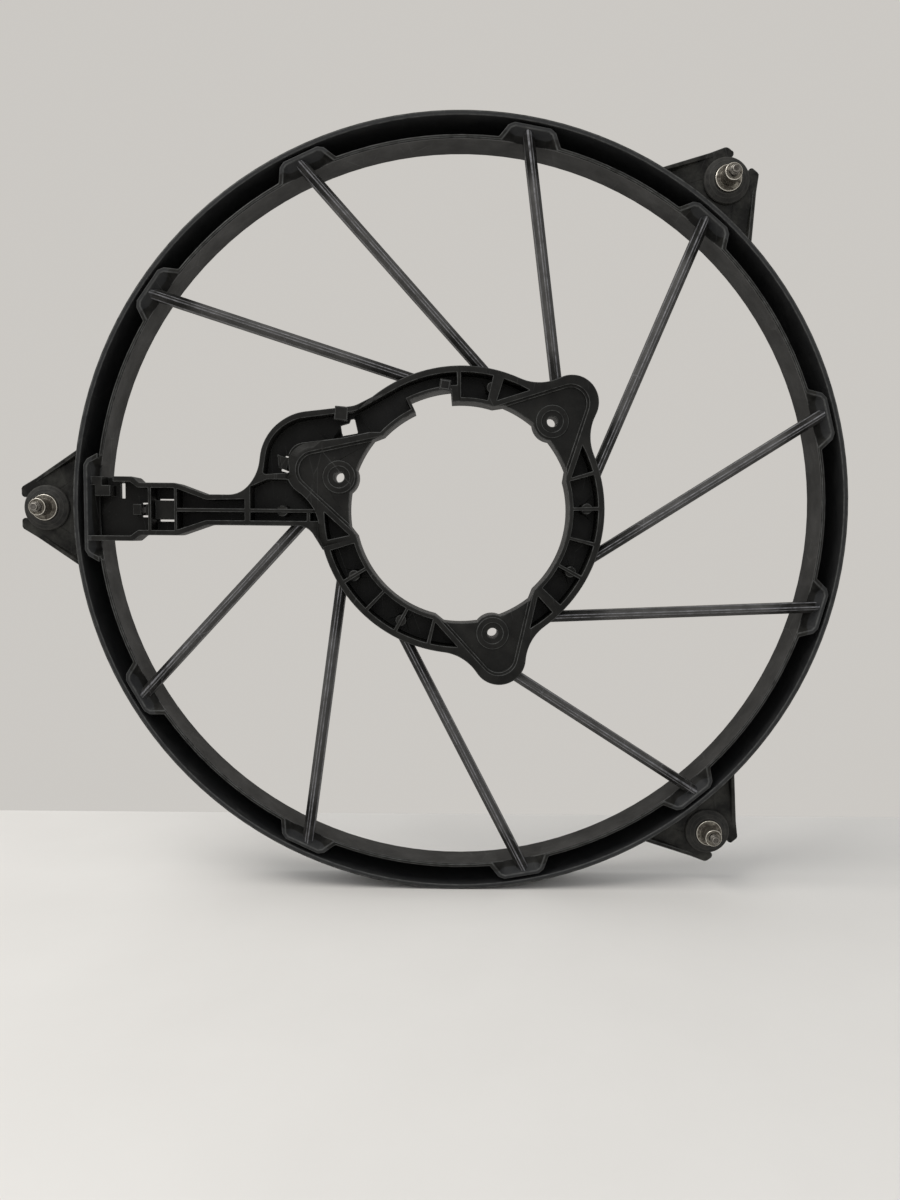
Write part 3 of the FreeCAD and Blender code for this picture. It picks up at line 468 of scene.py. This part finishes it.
def plated_steel(name, bright, dull, grime, grime_from, worn_and_lit):
    """Plated steel: bright at its rims, partly worn plating and partly a painted highlight, dull and grimy
    elsewhere.
    """
    m = Nodes(name)
    bare_and_lit_zinc = (0.74, 0.71, 0.64, 1)
    tone = m.ramp(m.noise(2.4, 5), [(0.35, grey(0)), (0.65, grey(1))])
    colour = m.mix(tone, bright, dull)
    # The rims are lightened towards bare zinc: partly worn plating, partly a painted highlight on the
    # rounded edges.
    colour = m.mix(m.maths("MULTIPLY", m.attribute("rim"), worn_and_lit), colour, bare_and_lit_zinc)
    stain = m.ramp(m.noise(2.9, 7, 0.72), [(grime_from, grey(0)), (grime_from + 0.16, grey(1))])
    off_rims = m.maths("SUBTRACT", 1.0, m.maths("MULTIPLY", m.attribute("rim"), 0.85))
    stain = m.maths("MULTIPLY", stain, off_rims)
    colour = m.mix(stain, colour, grime)
    m.link(colour, m.shader.inputs["Base Color"])
    m.link(m.mix(stain, grey(1), grey(0.25)), m.shader.inputs["Metallic"])
    turning = m.noise(0.5, 3, 0.6, (0.15, 1.0, 0.15))
    m.link(m.mix(stain, m.ramp(turning, [(0.3, grey(0.26)), (0.7, grey(0.44))]), grey(0.7)),
           m.shader.inputs["Roughness"])
    m.bumps((turning, 0.012), (m.noise(0.6, 5), 0.02))
    return m.material


# The scuff colour also paints the highlight on the rounded rims.
PLASTIC = moulded_plastic("moulded_plastic", bar_light=0.0, dust_and_bar_light=(0.052, 0.051, 0.045, 1),
                          scuff_and_highlight=(0.072, 0.073, 0.071, 1))
# The bars' material: its light dust colour and bright rim colour paint the light and highlights on the
# spokes.
LIT_BAR_PLASTIC = moulded_plastic("bar_plastic_painted_light", bar_light=1.0, dust_and_bar_light=(0.125, 0.122, 0.118, 1),
                              scuff_and_highlight=(0.200, 0.198, 0.210, 1))
RUBBER = bush_rubber()
SLEEVE = plated_steel("sleeve_zinc", bright=(0.26, 0.245, 0.21, 1), dull=(0.14, 0.13, 0.11, 1),
                      grime=(0.045, 0.036, 0.026, 1), grime_from=0.42, worn_and_lit=0.9)
SCREW = plated_steel("screw_zinc", bright=(0.20, 0.19, 0.175, 1), dull=(0.09, 0.085, 0.078, 1),
                     grime=(0.030, 0.024, 0.018, 1), grime_from=0.42, worn_and_lit=0.3)


# ---------------------------------------------------------------- the moulding

def copy_of(node):
    """A copy of a solid's surface with its doubled points merged."""
    piece = bpy.data.objects.new(node + "_moulded", NODES[node].data.copy())
    scene.collection.objects.link(piece)
    piece.data.materials.clear()
    edit(piece)
    bpy.ops.mesh.remove_doubles(threshold=SAME_POINT)
    leave_edit()
    return piece


def moulded_tab(centre, size, turn, taper):
    """A small tab on the moulding: a block whose front face is drawn in, then rounded off."""
    deselect_all()
    bpy.ops.mesh.primitive_cube_add(size=1, location=[value * MM for value in centre])
    tab = bpy.context.object
    tab.scale = [value * MM for value in size]
    tab.rotation_euler = (0, math.radians(turn), 0)
    bpy.ops.object.transform_apply(location=True, rotation=True, scale=True)
    edit_faces(tab, lambda face: face.normal.y < -0.9)
    bpy.ops.mesh.inset(thickness=taper * MM, depth=taper * MM)
    bpy.ops.mesh.select_all(action="SELECT")
    leave_edit()
    soften(tab, TAB_ROUND, segments=3)
    return tab


def build_moulding():
    """Hoop, spokes, motor ring, arm and ears are one moulding, so their seams aren't rounded."""
    pieces = {node: copy_of(node) for node in MOULDED}
    surfaces = {node: surface_of(piece) for node, piece in pieces.items()}
    for node, piece in pieces.items():
        others = [surfaces[other] for other in MOULDED if other != node]
        width = BAR_ROUND if node.startswith("spoke") else ROUNDING.get(node, EDGE_ROUND)
        soften(piece, width, joints=others)
        for tab in TABS.get(node, ()):
            piece = joined(piece.name, [piece, moulded_tab(*tab)])
        dress(piece, "shroud", "shroud_plastic", LIT_BAR_PLASTIC if node.startswith("spoke") else PLASTIC, node)


# ---------------------------------------------------------------- turned pieces

def turned(name, profile, closed):
    """A piece turned about the fan axis: a circle carried along a profile, into a ring or a solid."""
    deselect_all()
    radius, depth = profile[0]
    bpy.ops.mesh.primitive_circle_add(vertices=ROUND_STEPS, radius=radius * MM,
                                      rotation=(math.pi / 2, 0, 0), location=(0, depth * MM, 0))
    piece = bpy.context.object
    piece.name = name
    bpy.ops.object.transform_apply(location=True, rotation=True, scale=True)
    edit(piece)
    for wider, deeper in profile[1:]:
        bpy.ops.mesh.extrude_edges_move(TRANSFORM_OT_translate={"value": (0, (deeper - depth) * MM, 0)})
        scale = wider / radius
        bpy.ops.transform.resize(value=(scale, 1, scale), center_override=(0, deeper * MM, 0))
        radius, depth = wider, deeper
    bpy.ops.mesh.select_all(action="SELECT")
    if closed:
        bpy.ops.mesh.remove_doubles(threshold=SAME_TURNED_POINT)
    else:
        bpy.ops.mesh.select_all(action="DESELECT")
        bpy.ops.mesh.select_non_manifold()
        bpy.ops.mesh.edge_face_add()
    bpy.ops.mesh.select_all(action="SELECT")
    bpy.ops.mesh.normals_make_consistent(inside=False)
    leave_edit()
    return piece


def at_studs(piece, body_of_each, slot, material, node):
    """Sets copies of a piece, modelled at the fan axis, at the three studs.

    With body_of_each, every copy rides its own stud, and node is the start of the nodes' names.
    """
    copies = [copy_to(piece, piece.name + "_" + stud, (place.x, 0, place.z))
              for stud, place in STUDS.items()]
    bpy.data.objects.remove(piece)
    if not body_of_each:
        group = joined(node + "_set", copies)
        dress(group, "shroud", slot, material, node)
        return
    for copy, stud in zip(copies, STUDS):
        dress(copy, stud, slot, material, stud.replace("screw_", node))


def build_bushes():
    bush = turned("bush", BUSH_PROFILE, True)
    soften(bush, BUSH_ROUND, angle=20)
    at_studs(bush, False, "bush_rubber", RUBBER, "rubber_bushes")


def build_sleeves():
    sleeve = turned("sleeve", SLEEVE_PROFILE, True)
    soften(sleeve, SLEEVE_ROUND)
    at_studs(sleeve, False, "sleeve_steel", SLEEVE, "steel_sleeves")


def screw_thread():
    """The ridge of the thread: a small wedge carried round the shank in a helix."""
    deselect_all()
    bpy.ops.mesh.primitive_circle_add(vertices=4, radius=RIDGE_RADIUS * MM, fill_type="NGON",
                                      location=(THREAD_MIDDLE * MM, THREAD_START * MM, 0))
    ridge = bpy.context.object
    bpy.ops.object.transform_apply(location=True, rotation=True, scale=True)
    edit(ridge)
    bpy.ops.transform.resize(value=RIDGE_STRETCH,
                             center_override=(THREAD_MIDDLE * MM, THREAD_START * MM, 0))
    step = 2 * math.pi / THREAD_STEPS
    climb = (0, THREAD_PITCH / THREAD_STEPS * MM, 0)
    for _ in range(int(THREAD_STEPS * THREAD_TURNS)):
        bpy.ops.mesh.extrude_region_move(TRANSFORM_OT_translate={"value": climb})
        bpy.ops.transform.rotate(value=step, orient_axis="Y", center_override=(0, 0, 0))
    bpy.ops.mesh.select_all(action="SELECT")
    bpy.ops.mesh.normals_make_consistent(inside=False)
    leave_edit()
    return ridge


def screw_head():
    """The hexagon, its end face dished."""
    deselect_all()
    bpy.ops.mesh.primitive_cylinder_add(vertices=6, radius=HEX_ACROSS / math.sqrt(3) * MM,
                                        depth=HEX_HEIGHT * MM, location=(0, HEX_MIDDLE * MM, 0),
                                        rotation=(math.pi / 2, 0, 0))
    head = bpy.context.object
    bpy.ops.object.transform_apply(location=True, rotation=True, scale=True)
    edit_faces(head, lambda face: face.normal.y > 0.9)
    bpy.ops.mesh.inset(thickness=HEX_RIM * MM)
    bpy.ops.mesh.inset(thickness=DISH_SLOPE * MM, depth=-DISH_DEPTH * MM)
    leave_edit()
    return head


def build_screws():
    shank = turned("screw", SHANK_PROFILE, False)
    screw = joined("threaded", [shank, screw_thread(), screw_head()])
    soften(screw, SCREW_ROUND, angle=40)
    at_studs(screw, True, "screw_steel", SCREW, "captive_screw_")


# ---------------------------------------------------------------- floor, light and camera

def build_stage():
    low = Vector(cad_box[0]).z
    deselect_all()
    bpy.ops.mesh.primitive_plane_add(size=1, location=(0, FLOOR_MIDDLE, low))
    floor = bpy.context.object
    floor.name = "floor"
    floor.scale = (*FLOOR_SIZE, 1)
    bpy.ops.object.transform_apply(location=True, rotation=True, scale=True)
    m = Nodes("pale_floor")
    m.link(m.mix(m.ramp(m.noise(160, 5), [(0.35, grey(0)), (0.65, grey(1))]),
                 (0.72, 0.70, 0.67, 1), (0.69, 0.67, 0.64, 1)), m.shader.inputs["Base Color"])
    m.shader.inputs["Roughness"].default_value = 0.6
    floor.data.materials.append(m.material)


def build_world():
    """A pale backdrop as the camera, metal and glass see it, and a softer light on the rest."""
    world = bpy.data.worlds.new("studio")
    scene.world = world
    world.use_nodes = True
    tree = world.node_tree
    seen = tree.nodes["Background"]
    seen.inputs["Color"].default_value = BACKDROP
    seen.inputs["Strength"].default_value = 1.0
    light = tree.nodes.new("ShaderNodeBackground")
    light.inputs["Color"].default_value = SOFT_LIGHT
    light.inputs["Strength"].default_value = SOFT_STRENGTH
    path = tree.nodes.new("ShaderNodeLightPath")
    shown = path.outputs["Is Camera Ray"]
    for ray in ("Is Glossy Ray", "Is Transmission Ray"):
        either = tree.nodes.new("ShaderNodeMath")
        either.operation = "MAXIMUM"
        tree.links.new(shown, either.inputs[0])
        tree.links.new(path.outputs[ray], either.inputs[1])
        shown = either.outputs[0]
    mix = tree.nodes.new("ShaderNodeMixShader")
    tree.links.new(shown, mix.inputs[0])
    tree.links.new(light.outputs[0], mix.inputs[1])
    tree.links.new(seen.outputs[0], mix.inputs[2])
    tree.links.new(mix.outputs[0], tree.nodes["World Output"].inputs["Surface"])


def add_lamp(name, place, aim, size, energy, colour):
    data = bpy.data.lights.new(name, "AREA")
    data.shape = "RECTANGLE"
    data.size, data.size_y = size
    data.energy = energy
    data.color = colour
    lamp = bpy.data.objects.new(name, data)
    scene.collection.objects.link(lamp)
    lamp.location = place
    lamp.rotation_euler = (Vector(aim) - Vector(place)).to_track_quat("-Z", "Y").to_euler()


def build_lamps():
    add_lamp("ceiling", (-0.75, -0.40, 1.20), (0, 0, 0), (1.4, 0.8), 17, (1.0, 0.98, 0.95))
    add_lamp("front", (0.1, -1.5, 0.45), (0, 0, 0), (0.9, 0.9), 2.6, (0.97, 0.98, 1.0))


def build_camera():
    """The camera in front of the shroud, a little below the fan axis and tipped down."""
    pitch, yaw, roll = CAMERA_PITCH, CAMERA_YAW, CAMERA_ROLL
    ahead = Vector((math.sin(yaw) * math.cos(pitch), math.cos(yaw) * math.cos(pitch), -math.sin(pitch)))
    level = Vector((math.cos(yaw), -math.sin(yaw), 0))
    above = level.cross(ahead)
    right = level * math.cos(roll) + above * math.sin(roll)
    up = above * math.cos(roll) - level * math.sin(roll)
    data = bpy.data.cameras.new("camera")
    data.lens = CAMERA_LENS
    data.sensor_width = CAMERA_SENSOR
    camera = bpy.data.objects.new("camera", data)
    scene.collection.objects.link(camera)
    turn = Matrix((right, up, -ahead)).transposed().to_4x4()
    camera.matrix_world = Matrix.Translation(CAMERA_PLACE) @ turn
    scene.camera = camera


build_moulding()
build_bushes()
build_sleeves()
build_screws()
build_stage()
build_world()
build_lamps()
build_camera()
scene.view_settings.view_transform = "Standard"
deselect_all()
